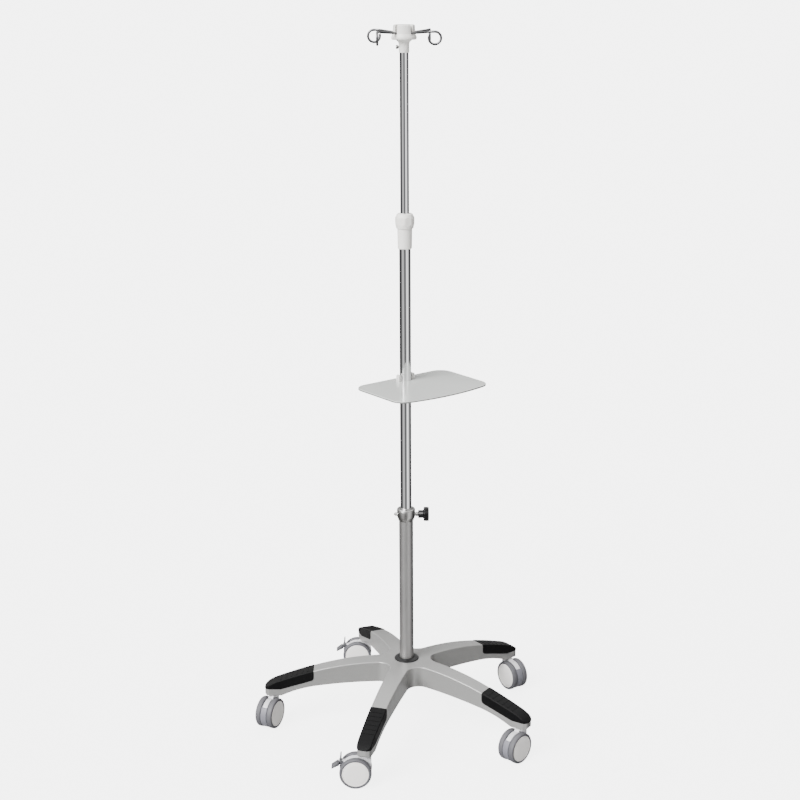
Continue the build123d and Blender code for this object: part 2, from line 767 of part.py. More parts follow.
# ---------------------------------------------------------------- hook head
def hook_frame(index):
    """A hook's outward and sideways directions, and the place of its pivot."""
    turn = radians(first_hook_angle + index * 360 / hook_count)
    outward = Vector(cos(turn), sin(turn), 0)
    sideways = Vector(-sin(turn), cos(turn), 0)
    return outward, sideways, outward * hook_pivot_radius + Vector(0, 0, hook_pivot_height)


with BuildPart() as head_hub:
    with BuildSketch(Plane.XZ):
        Polygon(
            (0, head_top),
            (20.8, head_top),
            (22.6, head_top - 1.8),
            (23.4, head_top - 18),
            (26.3, head_top - 24.5),
            (26.5, flange_bottom + 2.5),
            (25, flange_bottom),
            (17.5, flange_bottom - 0.3),
            (12, flange_bottom - 5),
            (11, flange_bottom - 9),
            (10.8, neck_bottom),
            (upper_tube_diameter / 2, neck_bottom),
            (upper_tube_diameter / 2, upper_top),
            (0, upper_top),
            align=None,
        )
    revolve(axis=Axis.Z)
    for inner, outer, depth in hook_slots:
        with BuildSketch(Plane.XY.offset(hook_pivot_height - depth)):
            with PolarLocations(0, hook_count, start_angle=first_hook_angle):
                with Locations(((inner + outer) / 2, 0)):
                    Rectangle(outer - inner, hook_wire + 2 * gap)
        extrude(amount=head_top, mode=Mode.SUBTRACT)
    for index in range(hook_count):
        outward, sideways, pivot = hook_frame(index)
        with BuildSketch(Plane(origin=pivot, z_dir=sideways)):
            Circle(hook_pin / 2)
        extrude(amount=hook_pin_length / 2, both=True, mode=Mode.SUBTRACT)
    with BuildSketch(Plane(origin=(0, 0, head_screw_height), z_dir=(-1, 0, 0))):
        Circle(2.5)
    extrude(amount=20, mode=Mode.SUBTRACT)
finish_piece(head_hub, "head_hub")

with BuildPart() as hook_pins:
    for index in range(hook_count):
        outward, sideways, pivot = hook_frame(index)
        with BuildSketch(Plane(origin=pivot, z_dir=sideways)):
            Circle(hook_pin / 2)
        extrude(amount=hook_pin_length / 2, both=True)
finish_piece(hook_pins, "hook_pins")

with BuildPart() as head_screw:
    screw_tip = (-upper_tube_diameter / 2 - slip, 0, head_screw_height)
    with BuildSketch(Plane(origin=screw_tip, z_dir=(-1, 0, 0))):
        Circle(2.5)
    extrude(amount=3)
    with BuildSketch(Plane(origin=(-12, 0, head_screw_height), z_dir=(-1, 0, 0))):
        Circle(4)
    extrude(amount=5)
    fillet(head_screw.faces().sort_by(Axis.X)[0].edges(), 0.8)
finish_piece(head_screw, "head_screw")


def make_hook(index):
    """One bent wire hook: an eye on its pin, a rising arm and an open ring turned to one side."""
    outward, sideways, pivot = hook_frame(index)
    up = Vector(0, 0, 1)
    bend = pivot + outward * (hook_straight_end - hook_pivot_radius) + up * hook_rise
    heading = (bend - pivot).normalized()
    ring_heading = outward * cos(radians(hook_twist)) + sideways * sin(radians(hook_twist))
    ring_top = bend + (heading + ring_heading).normalized() * hook_bend_chord
    ring_centre = ring_top - up * hook_ring_radius

    def on_ring(angle):
        """A point on the ring, angle degrees round from its top."""
        turn = radians(angle)
        return ring_centre + (ring_heading * sin(turn) + up * cos(turn)) * hook_ring_radius

    with BuildPart() as hook:
        with BuildLine() as wire_path:
            Line(pivot, bend)
            TangentArc(bend, ring_top, tangent=heading)
            ThreePointArc(ring_top, on_ring(hook_ring_sweep / 2), on_ring(hook_ring_sweep))
        with BuildSketch(Plane(origin=pivot, z_dir=heading)):
            Circle(hook_wire / 2)
        sweep(path=wire_path.line)
        with BuildSketch(Plane(origin=pivot, z_dir=sideways)):
            Circle(hook_eye_radius)
        extrude(amount=hook_wire / 2, both=True)
        with BuildSketch(Plane(origin=pivot, z_dir=sideways)):
            Circle(hook_pin / 2 + slip)
        extrude(amount=hook_wire, both=True, mode=Mode.SUBTRACT)
    return hook


for index in range(hook_count):
    finish_piece(make_hook(index), f"hook_{index + 1}")
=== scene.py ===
"""Looks of a wheeled infusion stand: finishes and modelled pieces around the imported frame.

Lengths are metres, +Z is up and the origin is on the floor under the mast.  Millimetre sizes are
written as a number times MM.
"""

import json
import logging
import math
from collections.abc import Callable
from dataclasses import dataclass
from enum import Enum

import bpy
from mathutils import Matrix, Vector

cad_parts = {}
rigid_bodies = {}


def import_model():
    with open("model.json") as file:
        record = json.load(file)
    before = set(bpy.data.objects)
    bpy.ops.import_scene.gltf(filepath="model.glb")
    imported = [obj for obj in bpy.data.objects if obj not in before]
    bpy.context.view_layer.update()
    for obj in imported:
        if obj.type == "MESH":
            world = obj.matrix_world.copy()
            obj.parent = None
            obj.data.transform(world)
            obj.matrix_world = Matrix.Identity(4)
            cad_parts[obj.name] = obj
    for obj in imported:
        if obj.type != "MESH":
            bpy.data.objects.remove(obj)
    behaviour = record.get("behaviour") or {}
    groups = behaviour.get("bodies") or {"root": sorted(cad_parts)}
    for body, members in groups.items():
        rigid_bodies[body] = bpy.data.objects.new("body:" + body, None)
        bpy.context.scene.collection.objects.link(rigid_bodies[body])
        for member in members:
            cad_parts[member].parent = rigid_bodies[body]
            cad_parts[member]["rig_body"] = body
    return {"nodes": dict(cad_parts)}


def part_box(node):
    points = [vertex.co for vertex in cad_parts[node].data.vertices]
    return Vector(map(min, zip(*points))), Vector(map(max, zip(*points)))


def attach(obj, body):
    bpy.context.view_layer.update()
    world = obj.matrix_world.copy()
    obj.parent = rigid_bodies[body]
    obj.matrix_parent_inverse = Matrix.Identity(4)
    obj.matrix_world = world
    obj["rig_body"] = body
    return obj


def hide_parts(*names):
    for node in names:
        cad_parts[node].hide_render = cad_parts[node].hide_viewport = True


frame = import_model()

MM = 0.001
LOG = logging.getLogger("infusion_stand")
Colour = tuple[float, float, float]
Place = tuple[float, float, float]
Station = tuple[float, float]
PointTest = Callable[[Vector], bool]
MERGE_DISTANCE = 0.002 * MM
CENTRE_HOLE = 0.6 * MM              # radius left open where a turned face ends near its axis
UP = Vector((0, 0, 1))
CASTOR_NUMBERS = (1, 2, 3, 4, 5)


class Grain(Enum):
    """How the fine texture of a finish is stretched along X, Y and Z."""

    EVEN = (1.0, 1.0, 1.0)
    BRUSHED_UPRIGHT = (1.0, 1.0, 0.02)
    TURNED = (0.04, 0.04, 1.0)


class Side(Enum):
    """The two wheels of a twin castor."""

    LEFT = "left"
    RIGHT = "right"


# ---------------------------------------------------------------- shader node groups
class NodeGroups:
    """Shared shader node groups, each built once and placed in every finish."""

    COARSE_SCALE = 0.23              # of the fine grain's scale
    COARSE_SHARE = 0.6               # of the fine grain's height

    @staticmethod
    def _start(name: str, inputs: dict[str, float], outputs: tuple[str, ...]) -> bpy.types.NodeTree:
        """Makes an empty group with a position input, value inputs and value outputs.

        Args:
            name: the group's name.
            inputs: the value inputs and their defaults.
            outputs: the names of the value outputs.

        Returns:
            The new node tree, with its input and output nodes.
        """
        tree = bpy.data.node_groups.new(name, "ShaderNodeTree")
        tree.interface.new_socket("Position", in_out="INPUT", socket_type="NodeSocketVector")
        for label, default in inputs.items():
            socket = tree.interface.new_socket(label, in_out="INPUT", socket_type="NodeSocketFloat")
            socket.default_value = default
        for label in outputs:
            tree.interface.new_socket(label, in_out="OUTPUT", socket_type="NodeSocketFloat")
        tree.nodes.new("NodeGroupInput").name = "in"
        tree.nodes.new("NodeGroupOutput").name = "out"
        return tree

    @staticmethod
    def _noise(tree: bpy.types.NodeTree, detail: float, roughness: float) -> bpy.types.Node:
        """Adds a noise texture read at the group's position.

        Args:
            tree: the group.
            detail: the noise's octaves.
            roughness: how strong its finer octaves are.

        Returns:
            The noise node.
        """
        noise = tree.nodes.new("ShaderNodeTexNoise")
        noise.inputs["Detail"].default_value = detail
        noise.inputs["Roughness"].default_value = roughness
        tree.links.new(tree.nodes["in"].outputs["Position"], noise.inputs["Vector"])
        return noise

    @staticmethod
    def _math(
        tree: bpy.types.NodeTree, operation: str, *operands: bpy.types.NodeSocket | float
    ) -> bpy.types.NodeSocket:
        """Adds a math node.

        Args:
            tree: the group.
            operation: what the node does.
            operands: an output socket or a fixed value for each of its inputs.

        Returns:
            The node's output socket.
        """
        node = tree.nodes.new("ShaderNodeMath")
        node.operation = operation
        for operand, socket in zip(operands, node.inputs):
            if isinstance(operand, float):
                socket.default_value = operand
            else:
                tree.links.new(operand, socket)
        return node.outputs[0]

    @classmethod
    def fine_grain(cls) -> bpy.types.NodeTree:
        """A fine surface grain: a height for bump, and a mask for tone.

        Returns:
            The group, with Scale as its input and Height and Mask as its outputs.
        """
        existing = bpy.data.node_groups.get("fine_grain")
        if existing:
            return existing
        tree = cls._start("fine_grain", {"Scale": 900.0}, ("Height", "Mask"))
        source, target = tree.nodes["in"], tree.nodes["out"]
        fine = cls._noise(tree, 3.0, 0.6)
        tree.links.new(source.outputs["Scale"], fine.inputs["Scale"])
        coarse = cls._noise(tree, 2.0, 0.5)
        slower = cls._math(tree, "MULTIPLY", source.outputs["Scale"], cls.COARSE_SCALE)
        tree.links.new(slower, coarse.inputs["Scale"])
        blend = cls._math(tree, "MULTIPLY_ADD", coarse.outputs["Fac"], cls.COARSE_SHARE, fine.outputs["Fac"])
        tree.links.new(blend, target.inputs["Height"])
        spread = tree.nodes.new("ShaderNodeMapRange")
        spread.inputs["From Min"].default_value = 0.35
        spread.inputs["From Max"].default_value = 0.65
        tree.links.new(fine.outputs["Fac"], spread.inputs["Value"])
        tree.links.new(spread.outputs["Result"], target.inputs["Mask"])
        return tree

    @classmethod
    def handling_marks(cls) -> bpy.types.NodeTree:
        """Wide soft patches where a surface has been wiped and touched.

        Returns:
            The group, with Scale as its input and Mask as its output.
        """
        existing = bpy.data.node_groups.get("handling_marks")
        if existing:
            return existing
        tree = cls._start("handling_marks", {"Scale": 30.0}, ("Mask",))
        patches = cls._noise(tree, 4.0, 0.65)
        tree.links.new(tree.nodes["in"].outputs["Scale"], patches.inputs["Scale"])
        spread = tree.nodes.new("ShaderNodeMapRange")
        spread.interpolation_type = "SMOOTHSTEP"
        spread.inputs["From Min"].default_value = 0.38
        spread.inputs["From Max"].default_value = 0.68
        tree.links.new(patches.outputs["Fac"], spread.inputs["Value"])
        tree.links.new(spread.outputs["Result"], tree.nodes["out"].inputs["Mask"])
        return tree

    @classmethod
    def settled_dust(cls) -> bpy.types.NodeTree:
        """A thin film of dust on faces that look up, thicker in patches.

        Returns:
            The group, with Scale and Amount as its inputs and Mask as its output.
        """
        existing = bpy.data.node_groups.get("settled_dust")
        if existing:
            return existing
        tree = cls._start("settled_dust", {"Scale": 45.0, "Amount": 0.1}, ("Mask",))
        source = tree.nodes["in"]
        patches = cls._noise(tree, 5.0, 0.6)
        tree.links.new(source.outputs["Scale"], patches.inputs["Scale"])
        surface = tree.nodes.new("ShaderNodeNewGeometry")
        parts = tree.nodes.new("ShaderNodeSeparateXYZ")
        tree.links.new(surface.outputs["Normal"], parts.inputs[0])
        upward = tree.nodes.new("ShaderNodeMapRange")
        upward.interpolation_type = "SMOOTHSTEP"
        upward.inputs["From Min"].default_value = 0.3
        tree.links.new(parts.outputs["Z"], upward.inputs["Value"])
        patchy = cls._math(tree, "MULTIPLY", upward.outputs["Result"], patches.outputs["Fac"])
        amount = cls._math(tree, "MULTIPLY", patchy, source.outputs["Amount"])
        tree.links.new(amount, tree.nodes["out"].inputs["Mask"])
        return tree


# ---------------------------------------------------------------- finishes
@dataclass(frozen=True)
class Finish:
    """One surface finish, with its colour, gloss and fine texture."""

    name: str
    colour: Colour
    roughness: float
    metallic: float = 0.0
    specular: float = 0.5
    coat: float = 0.0
    coat_roughness: float = 0.1
    grain: Grain = Grain.EVEN
    grain_scale: float = 900.0
    grain_depth: float = 0.02 * MM
    tone: float = 0.06
    marks_scale: float = 22.0
    marks: float = 0.06
    dust: float = 0.08
    dust_colour: Colour = (0.55, 0.54, 0.52)

    @staticmethod
    def _group(
        material: bpy.types.Material, tree: bpy.types.NodeTree, position: bpy.types.NodeSocket
    ) -> bpy.types.Node:
        """Places a shared node group in a material.

        Args:
            material: the material.
            tree: the shared group.
            position: the socket that the group reads its position from.

        Returns:
            The group's node.
        """
        node = material.node_tree.nodes.new("ShaderNodeGroup")
        node.node_tree = tree
        material.node_tree.links.new(position, node.inputs["Position"])
        return node

    def _shade(self, factor: float) -> tuple[float, float, float, float]:
        """The finish's colour, made lighter or darker by a factor, with its alpha."""
        return (*[min(1.0, channel * factor) for channel in self.colour], 1.0)

    def _colour(self, material: bpy.types.Material, grain: bpy.types.Node, dust: bpy.types.Node) -> None:
        """Varies the base colour with the grain and lays the dust over it.

        Args:
            material: the material.
            grain: the grain group's node.
            dust: the dust group's node.
        """
        nodes, links = material.node_tree.nodes, material.node_tree.links
        tone = nodes.new("ShaderNodeMix")
        tone.data_type = "RGBA"
        tone.inputs["A"].default_value = self._shade(1 - self.tone)
        tone.inputs["B"].default_value = self._shade(1 + self.tone)
        links.new(grain.outputs["Mask"], tone.inputs["Factor"])
        film = nodes.new("ShaderNodeMix")
        film.data_type = "RGBA"
        film.inputs["B"].default_value = (*self.dust_colour, 1.0)
        links.new(dust.outputs["Mask"], film.inputs["Factor"])
        links.new(tone.outputs["Result"], film.inputs["A"])
        links.new(film.outputs["Result"], nodes["Principled BSDF"].inputs["Base Color"])

    def _roughness(self, material: bpy.types.Material, marks: bpy.types.Node, dust: bpy.types.Node) -> None:
        """Dulls the finish where it is marked or dusty.

        Args:
            material: the material.
            marks: the handling marks group's node.
            dust: the dust group's node.
        """
        nodes, links = material.node_tree.nodes, material.node_tree.links
        worn = nodes.new("ShaderNodeMapRange")
        worn.inputs["To Min"].default_value = self.roughness
        worn.inputs["To Max"].default_value = min(1.0, self.roughness + self.marks)
        links.new(marks.outputs["Mask"], worn.inputs["Value"])
        dulled = nodes.new("ShaderNodeMath")
        dulled.operation = "ADD"
        dulled.use_clamp = True
        links.new(worn.outputs["Result"], dulled.inputs[0])
        links.new(dust.outputs["Mask"], dulled.inputs[1])
        links.new(dulled.outputs[0], nodes["Principled BSDF"].inputs["Roughness"])

    def _bump(self, material: bpy.types.Material, grain: bpy.types.Node) -> None:
        """Raises the grain a little, on a finish that can be felt.

        Args:
            material: the material.
            grain: the grain group's node.
        """
        if self.grain_depth == 0:
            return
        nodes, links = material.node_tree.nodes, material.node_tree.links
        bump = nodes.new("ShaderNodeBump")
        bump.inputs["Distance"].default_value = self.grain_depth
        links.new(grain.outputs["Height"], bump.inputs["Height"])
        links.new(bump.outputs["Normal"], nodes["Principled BSDF"].inputs["Normal"])

    def material(self) -> bpy.types.Material:
        """Builds the finish's material once.

        Returns:
            The material, the same one at each call.
        """
        existing = bpy.data.materials.get(self.name)
        if existing and existing.get("finish"):
            return existing
        material = bpy.data.materials.new(self.name)
        material["finish"] = True
        material.use_nodes = True
        nodes, links = material.node_tree.nodes, material.node_tree.links
        shader = nodes["Principled BSDF"]
        shader.inputs["Metallic"].default_value = self.metallic
        shader.inputs["Specular IOR Level"].default_value = self.specular
        shader.inputs["Coat Weight"].default_value = self.coat
        shader.inputs["Coat Roughness"].default_value = self.coat_roughness

        place = nodes.new("ShaderNodeTexCoord").outputs["Object"]
        stretch = nodes.new("ShaderNodeMapping")
        stretch.inputs["Scale"].default_value = self.grain.value
        links.new(place, stretch.inputs["Vector"])
        grain = self._group(material, NodeGroups.fine_grain(), stretch.outputs["Vector"])
        grain.inputs["Scale"].default_value = self.grain_scale
        marks = self._group(material, NodeGroups.handling_marks(), place)
        marks.inputs["Scale"].default_value = self.marks_scale
        dust = self._group(material, NodeGroups.settled_dust(), place)
        dust.inputs["Amount"].default_value = self.dust
        self._colour(material, grain, dust)
        self._roughness(material, marks, dust)
        self._bump(material, grain)
        return material


SILVER_PAINT = Finish(
    "silver_paint", (0.262, 0.260, 0.254), 0.32, metallic=0.30, coat=0.30, coat_roughness=0.22,
    grain_scale=1400.0, grain_depth=0.03 * MM, tone=0.12, marks=0.08, dust=0.04,
)
BLACK_COVER = Finish(
    "black_cover_plastic", (0.0034, 0.0034, 0.0036), 0.44, specular=0.08, grain_scale=1100.0,
    grain_depth=0.05 * MM, tone=0.25, marks=0.12, dust=0.004,
)
BLACK_TRIM = Finish(
    "black_trim_plastic", (0.005, 0.005, 0.0055), 0.26, specular=0.22, grain_scale=1500.0,
    grain_depth=0.01 * MM, marks=0.1, dust=0.01,
)
ZINC = Finish(
    "zinc_fastener", (0.50, 0.50, 0.49), 0.28, metallic=1.0, grain=Grain.TURNED, tone=0.12, dust=0.02
)
BRUSHED_STEEL = Finish(
    "brushed_steel", (0.35, 0.345, 0.34), 0.50, metallic=1.0, grain=Grain.BRUSHED_UPRIGHT,
    grain_scale=2600.0, grain_depth=0.012 * MM, tone=0.10, marks=0.05, dust=0.0,
)
CHROME = Finish(
    "chrome_tube", (0.80, 0.80, 0.81), 0.05, metallic=1.0, grain=Grain.BRUSHED_UPRIGHT,
    grain_scale=900.0, grain_depth=0.0, tone=0.02, marks=0.05, dust=0.0,
)
HOOK_WIRE = Finish(
    "hook_wire", (0.125, 0.125, 0.128), 0.36, metallic=1.0, grain_depth=0.0, tone=0.04, marks=0.08, dust=0.0,
)
TURNED_METAL = Finish(
    "turned_collar", (0.40, 0.395, 0.385), 0.34, metallic=1.0, grain=Grain.TURNED, grain_scale=2400.0,
    grain_depth=0.015 * MM, tone=0.12, dust=0.0,
)
WHITE_PLASTIC = Finish(
    "white_plastic", (0.83, 0.815, 0.78), 0.38, grain_scale=1600.0, grain_depth=0.02 * MM, tone=0.02,
    marks=0.1, dust=0.02,
)
WHITE_BUSH = Finish("white_bush", (0.74, 0.73, 0.70), 0.45, tone=0.03)
# Painted shade: a dark grey laid on the white tray's rim and underside, where shade falls.
TRAY_PAINTED_SHADE = Finish(
    "tray_painted_shade", (0.16, 0.162, 0.158), 0.42, grain_scale=700.0, grain_depth=0.03 * MM, tone=0.03,
    dust=0.0,
)
TRAY_ENAMEL = Finish(
    "tray_enamel", (0.56, 0.575, 0.555), 0.16, coat=0.5, coat_roughness=0.10, grain_scale=700.0,
    grain_depth=0.02 * MM, tone=0.012, marks=0.04, dust=0.02,
)
WHITE_CLAMP = Finish("white_clamp", (0.70, 0.69, 0.67), 0.32, grain_scale=1200.0, tone=0.03, dust=0.02)
CASTER_SHELL = Finish(
    "castor_shell", (0.66, 0.655, 0.67), 0.36, tone=0.03, grain_depth=0.03 * MM, dust=0.03
)
CASTER_HOOD = Finish(
    "castor_hood", (0.150, 0.149, 0.172), 0.46, tone=0.05, grain_depth=0.03 * MM, marks=0.12, dust=0.05
)
CASTER_DISC = Finish(
    "castor_disc", (0.86, 0.835, 0.81), 0.34, tone=0.02, grain_depth=0.02 * MM, marks=0.1, dust=0.02
)
CASTER_TREAD = Finish(
    "castor_tread", (0.082, 0.081, 0.090), 0.55, tone=0.10, grain_scale=700.0, grain_depth=0.05 * MM,
    marks=0.15, dust=0.06,
)
CASTER_PEDAL = Finish(
    "castor_pedal", (0.075, 0.075, 0.082), 0.46, tone=0.08, grain_depth=0.04 * MM, dust=0.04
)

FINISH_OF_SLOT = {
    "cast_alloy": SILVER_PAINT,
    "black_cover": BLACK_COVER,
    "black_trim": BLACK_TRIM,
    "fastener": ZINC,
    "satin_steel": BRUSHED_STEEL,
    "collar_metal": TURNED_METAL,
    "polished_steel": CHROME,
    "hook_wire": HOOK_WIRE,
    "white_plastic": WHITE_PLASTIC,
    "white_bush": WHITE_BUSH,
    "tray_enamel": TRAY_ENAMEL,
    "white_clamp": WHITE_CLAMP,
    "caster_shell": CASTER_SHELL,
    "caster_disc": CASTER_DISC,
    "caster_tread": CASTER_TREAD,
    "caster_pedal": CASTER_PEDAL,
}


# ---------------------------------------------------------------- workbench
def clear_selection() -> None:
    """Deselects every object, so that an operator acts on the next piece alone."""
    for thing in bpy.context.selected_objects:
        thing.select_set(False)
    bpy.context.view_layer.objects.active = None


def make_active(piece: bpy.types.Object) -> None:
    """Selects one piece alone and makes it the active one.

    Args:
        piece: the piece.
    """
    clear_selection()
    piece.select_set(True)
    bpy.context.view_layer.objects.active = piece


def turned(name: str, outline: list[Station], segments: int, bored: bool = False) -> bpy.types.Object:
    """Shapes a turned piece about Z by extruding a circle and resizing each new ring.

    Args:
        name: the piece's name.
        outline: (radius, height) of each ring, from the bottom ring on.
        segments: the number of points in a ring.
        bored: True for a closed outline with a hole along the axis, False for a solid.

    Returns:
        The new object, its outline's last ring joined to its first if it is bored.
    """
    clear_selection()
    radius, height = outline[0]
    bpy.ops.mesh.primitive_circle_add(
        vertices=segments, radius=radius, fill_type="NOTHING" if bored else "NGON", location=(0, 0, height)
    )
    piece = bpy.context.object
    piece.name = piece.data.name = name
    bpy.ops.object.transform_apply(location=True, rotation=True, scale=True)
    bpy.ops.object.mode_set(mode="EDIT")
    bpy.ops.mesh.select_all(action="SELECT")
    for next_radius, next_height in [*outline[1:], *([outline[0]] if bored else [])]:
        rise = {"value": (0, 0, next_height - height)}
        bpy.ops.mesh.extrude_region_move(TRANSFORM_OT_translate=rise)
        factor = next_radius / radius
        bpy.ops.transform.resize(value=(factor, factor, 1), center_override=(0, 0, next_height))
        radius, height = next_radius, next_height
    bpy.ops.mesh.select_all(action="SELECT")
    bpy.ops.mesh.remove_doubles(threshold=MERGE_DISTANCE)
    bpy.ops.mesh.normals_make_consistent(inside=False)
    bpy.ops.object.mode_set(mode="OBJECT")
    return piece


def merged_copy(node: str, name: str) -> bpy.types.Object:
    """Copies a CAD node's mesh as a new piece, with its loose triangles joined and shaded afresh.

    Args:
        node: the CAD node.
        name: the new piece's name.

    Returns:
        The new piece, in the node's place.
    """
    piece = bpy.data.objects.new(name, frame["nodes"][node].data.copy())
    piece.data.name = name
    bpy.context.scene.collection.objects.link(piece)
    make_active(piece)
    bpy.ops.mesh.customdata_custom_splitnormals_clear()
    bpy.ops.object.mode_set(mode="EDIT")
    bpy.ops.mesh.select_all(action="SELECT")
    bpy.ops.mesh.remove_doubles(threshold=MERGE_DISTANCE)
    bpy.ops.object.mode_set(mode="OBJECT")
    return piece


def select_points(piece: bpy.types.Object, wanted: PointTest) -> None:
    """Enters edit mode with only the points for which a test is true selected.

    Args:
        piece: the piece to edit.
        wanted: a function of a point's place that returns True or False.
    """
    make_active(piece)
    bpy.ops.object.mode_set(mode="EDIT")
    bpy.ops.mesh.select_mode(type="VERT")
    bpy.ops.mesh.select_all(action="DESELECT")
    bpy.ops.object.mode_set(mode="OBJECT")
    for point in piece.data.vertices:
        point.select = bool(wanted(point.co))
    bpy.ops.object.mode_set(mode="EDIT")


def round_edges(piece: bpy.types.Object, width: float, steps: int = 3, angle: float = 30.0) -> None:
    """Rounds the sharp edges of a piece and applies the modifier.

    Args:
        piece: the piece.
        width: the rounding's width.
        steps: the number of faces across it.
        angle: the smallest turn, in degrees, that counts as an edge.
    """
    make_active(piece)
    bevel = piece.modifiers.new("rounding", "BEVEL")
    bevel.width = width
    bevel.segments = steps
    bevel.limit_method = "ANGLE"
    bevel.angle_limit = math.radians(angle)
    bevel.use_clamp_overlap = True
    bpy.ops.object.modifier_apply(modifier=bevel.name)


def shade(piece: bpy.types.Object, angle: float = 35.0) -> None:
    """Smooths the shading between faces that turn by less than an angle in degrees."""
    make_active(piece)
    bpy.ops.object.shade_smooth_by_angle(angle=math.radians(angle))


def put(piece: bpy.types.Object, place: Matrix) -> bpy.types.Object:
    """Moves a piece's mesh to its place, which leaves the object itself at the origin.

    Args:
        piece: the piece.
        place: its place.

    Returns:
        The piece.
    """
    make_active(piece)
    piece.matrix_world = place
    bpy.ops.object.transform_apply(location=True, rotation=True, scale=True)
    return piece


def copied(pattern: bpy.types.Object, name: str, place: Matrix) -> bpy.types.Object:
    """Copies a pattern piece with its own mesh and puts the copy in place.

    Args:
        pattern: the piece modelled once.
        name: the copy's name.
        place: the copy's place.

    Returns:
        The copy.
    """
    copy = pattern.copy()
    copy.data = pattern.data.copy()
    copy.name = copy.data.name = name
    bpy.context.scene.collection.objects.link(copy)
    return put(copy, place)


def finish(piece: bpy.types.Object, *looks: Finish) -> bpy.types.Object:
    """Gives a piece one material slot for each finish, in order.

    Args:
        piece: the piece.
        looks: its finishes.

    Returns:
        The piece.
    """
    piece.data.materials.clear()
    for look in looks:
        piece.data.materials.append(look.material())
    return piece


def dress(piece: bpy.types.Object, slot: str, *nodes: str) -> bpy.types.Object:
    """Gives a piece its finish, its body and the CAD nodes that it stands for.

    Args:
        piece: the finished piece.
        slot: the material slot, which settles the finish.
        nodes: the CAD nodes that it replaces; it rides on the first one's body.

    Returns:
        The piece.
    """
    finish(piece, FINISH_OF_SLOT[slot])
    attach(piece, body_of(nodes[0]))
    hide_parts(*nodes)
    LOG.info("%s stands for %s", piece.name, ", ".join(nodes))
    return piece


def body_of(node: str) -> str:
    """The name of the body that a CAD node belongs to."""
    return frame["nodes"][node]["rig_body"]


def centre_of(node: str) -> Vector:
    """The middle of a CAD node's box."""
    low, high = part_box(node)
    return (low + high) / 2


def pointing(direction: Vector, place: Vector) -> Matrix:
    """The matrix that takes +Z to a direction and the origin to a place."""
    return Matrix.Translation(place) @ direction.to_track_quat("Z", "Y").to_matrix().to_4x4()


